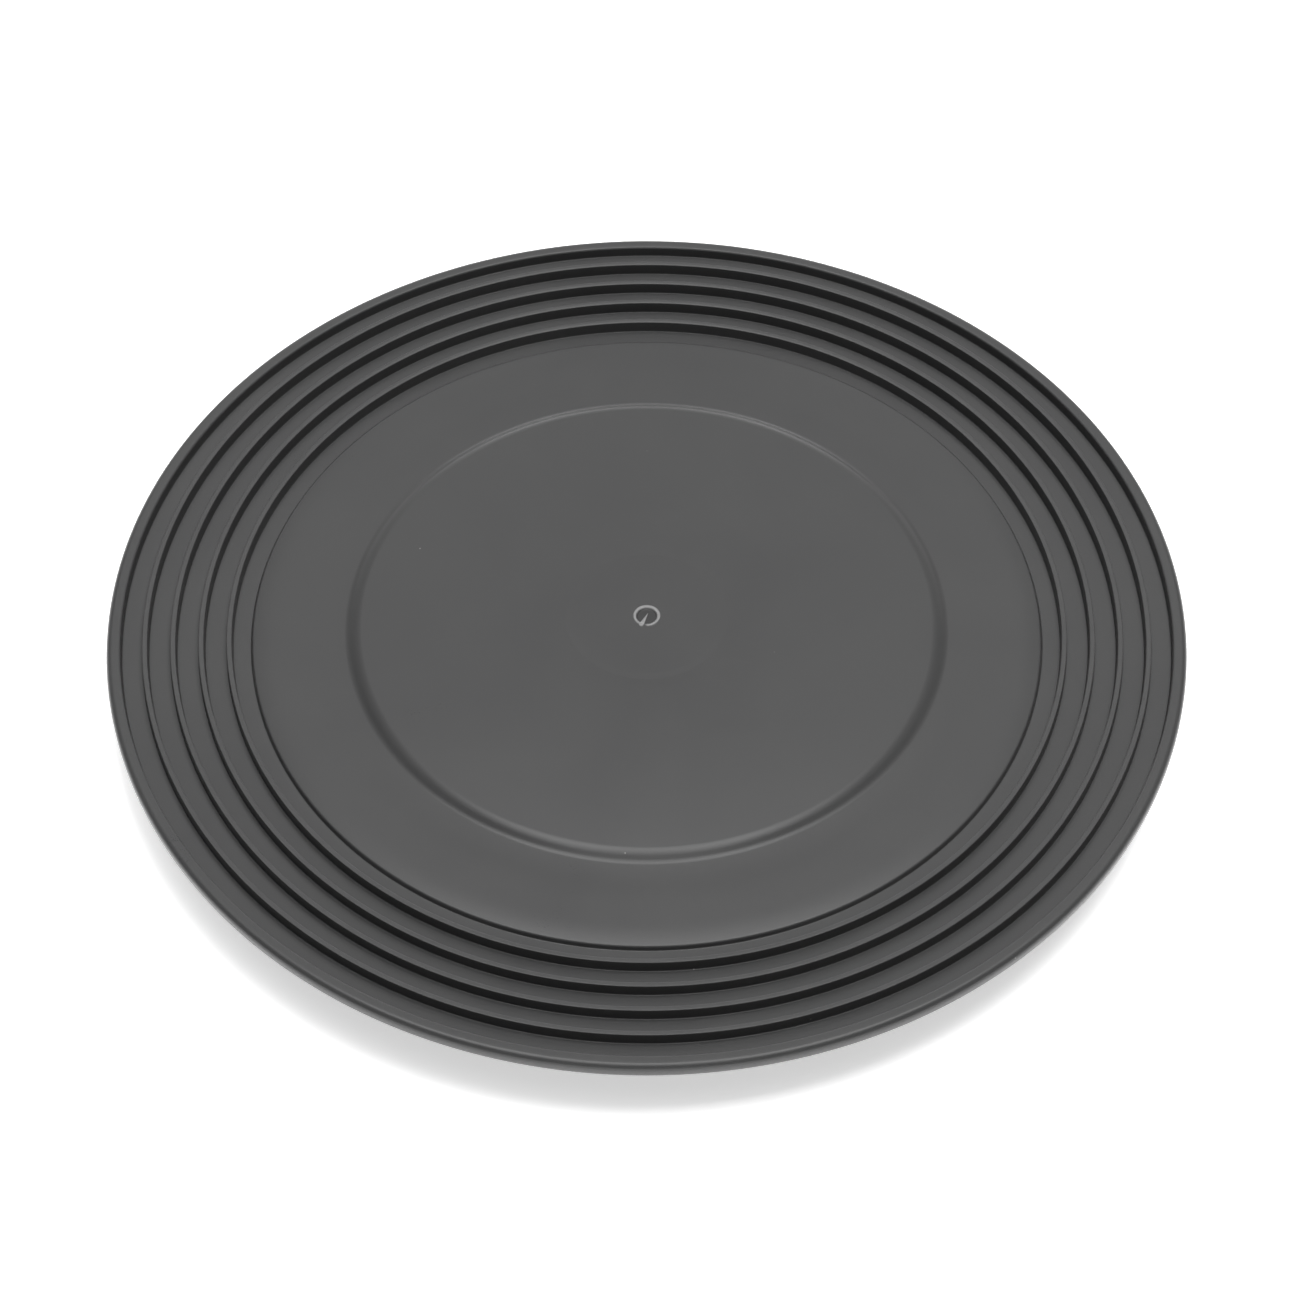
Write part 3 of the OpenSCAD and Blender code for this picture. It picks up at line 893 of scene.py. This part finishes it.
# ---------------------------------------------------------------------------------------------
# Studio. A pale, faintly glowing floor, one large soft light overhead, a surround that is bright
# high up behind the wheel, and a camera above the near edge. Its lengths are in metres.
# ---------------------------------------------------------------------------------------------
floor_reach = 40
floor = solid("studio_floor", [(-floor_reach, -floor_reach, 0), (floor_reach, -floor_reach, 0),
                               (floor_reach, floor_reach, 0), (-floor_reach, floor_reach, 0)],
              [(0, 1, 2, 3)])
floor_paint, tree, shader, place = new_material("floor_paint")
shader.inputs["Base Color"].default_value = (0.9, 0.9, 0.9, 1)
shader.inputs["Roughness"].default_value = 0.9
shader.inputs["Specular IOR Level"].default_value = 0.0
shader.inputs["Emission Color"].default_value = (1, 1, 1, 1)
shader.inputs["Emission Strength"].default_value = 0.5
below = put(tree, "ShaderNodeNewGeometry").outputs["Backfacing"]
clear = put(tree, "ShaderNodeBsdfTransparent")
shown = put(tree, "ShaderNodeMixShader", {0: below, 1: shader.outputs[0], 2: clear.outputs[0]})
tree.links.new(shown.outputs[0], tree.nodes["Material Output"].inputs["Surface"])
floor.data.materials.append(floor_paint)


def soft_light(name, size, place, target, power):
    """A rectangular area light that faces a point."""
    lamp = bpy.data.lights.new(name, "AREA")
    lamp.shape = "RECTANGLE"
    lamp.size, lamp.size_y = size
    lamp.energy = power
    light = bpy.data.objects.new(name, lamp)
    light.location = place
    light.rotation_euler = (Vector(target) - Vector(place)).to_track_quat("-Z", "Y").to_euler()
    bpy.context.scene.collection.objects.link(light)
    return light


overhead = soft_light("overhead_softbox", (0.8, 0.8), (0.25, 0.05, 1.6), (0, 0, 0), 24)
overhead.visible_glossy = False


def light_curve(tree, value, points):
    """A smooth curve through (value, level) points; the level may be above 1."""
    brightest = max(level for place, level in points)
    node = put(tree, "ShaderNodeFloatCurve", {"Value": value})
    curve = node.mapping.curves[0]
    curve.points[0].location = (points[0][0], points[0][1] / brightest)
    curve.points[1].location = (points[-1][0], points[-1][1] / brightest)
    for place, level in points[1:-1]:
        curve.points.new(place, level / brightest)
    node.mapping.update()
    return put(tree, "ShaderNodeMath", {0: node.outputs[0], 1: brightest},
               operation="MULTIPLY").outputs[0]


def surround(by_height, by_side, front_share):
    """A studio surround: its level by height and by distance to the side, and dark in front."""
    world = bpy.data.worlds.new("studio_surround")
    world.use_nodes = True
    tree = world.node_tree
    direction = put(tree, "ShaderNodeTexCoord").outputs["Generated"]
    way = put(tree, "ShaderNodeSeparateXYZ", {"Vector": direction})
    behind = put(tree, "ShaderNodeMapRange",
                 {"Value": way.outputs["Y"], "From Min": -0.3, "From Max": 0.2,
                  "To Min": front_share, "To Max": 1.0}, interpolation_type="SMOOTHSTEP")
    aside = put(tree, "ShaderNodeMath", {0: way.outputs["X"]}, operation="ABSOLUTE")
    share = put(tree, "ShaderNodeMath",
                {0: behind.outputs[0], 1: light_curve(tree, aside.outputs[0], by_side)},
                operation="MULTIPLY")
    level = put(tree, "ShaderNodeMath",
                {0: light_curve(tree, way.outputs["Z"], by_height), 1: share.outputs[0]},
                operation="MULTIPLY")
    seen = put(tree, "ShaderNodeLightPath").outputs["Is Camera Ray"]
    shown = put(tree, "ShaderNodeMix", {"Factor": seen, 2: level.outputs[0], 3: 1.0},
                data_type="FLOAT")
    background = tree.nodes["Background"]
    background.inputs["Color"].default_value = (1, 1, 1, 1)
    tree.links.new(shown.outputs[0], background.inputs["Strength"])
    bpy.context.scene.world = world


surround([(0.0, 0.3), (0.05, 2.2), (0.2, 1.5), (0.45, 0.75), (0.68, 0.76), (0.77, 0.84),
          (0.86, 0.86), (0.93, 2.8), (0.97, 3.7), (1.0, 2.3)],
         [(0.0, 0.95), (0.07, 1.0), (0.12, 1.5), (0.19, 1.5), (0.26, 0.95), (0.33, 0.65),
          (0.5, 0.55), (0.8, 0.35), (1.0, 0.35)], front_share=0.4)
bpy.context.scene.view_settings.view_transform = "Standard"

camera_data = bpy.data.cameras.new("camera")
camera = bpy.data.objects.new("camera", camera_data)
bpy.context.scene.collection.objects.link(camera)
bpy.context.scene.camera = camera
camera_data.sensor_width = 36
camera_data.lens = 89.2
elevation = math.radians(49.86)
distance = 0.9016
middle = Vector((0, 0, panel_z * mm))
aim = middle + Vector((0.0009, -0.0111, 0))
back = Vector((0, -math.cos(elevation), math.sin(elevation)))
camera.location = middle + back * distance
camera.rotation_euler = (aim - camera.location).to_track_quat("-Z", "Y").to_euler()
camera_data.clip_start = 0.01
camera_data.clip_end = 50
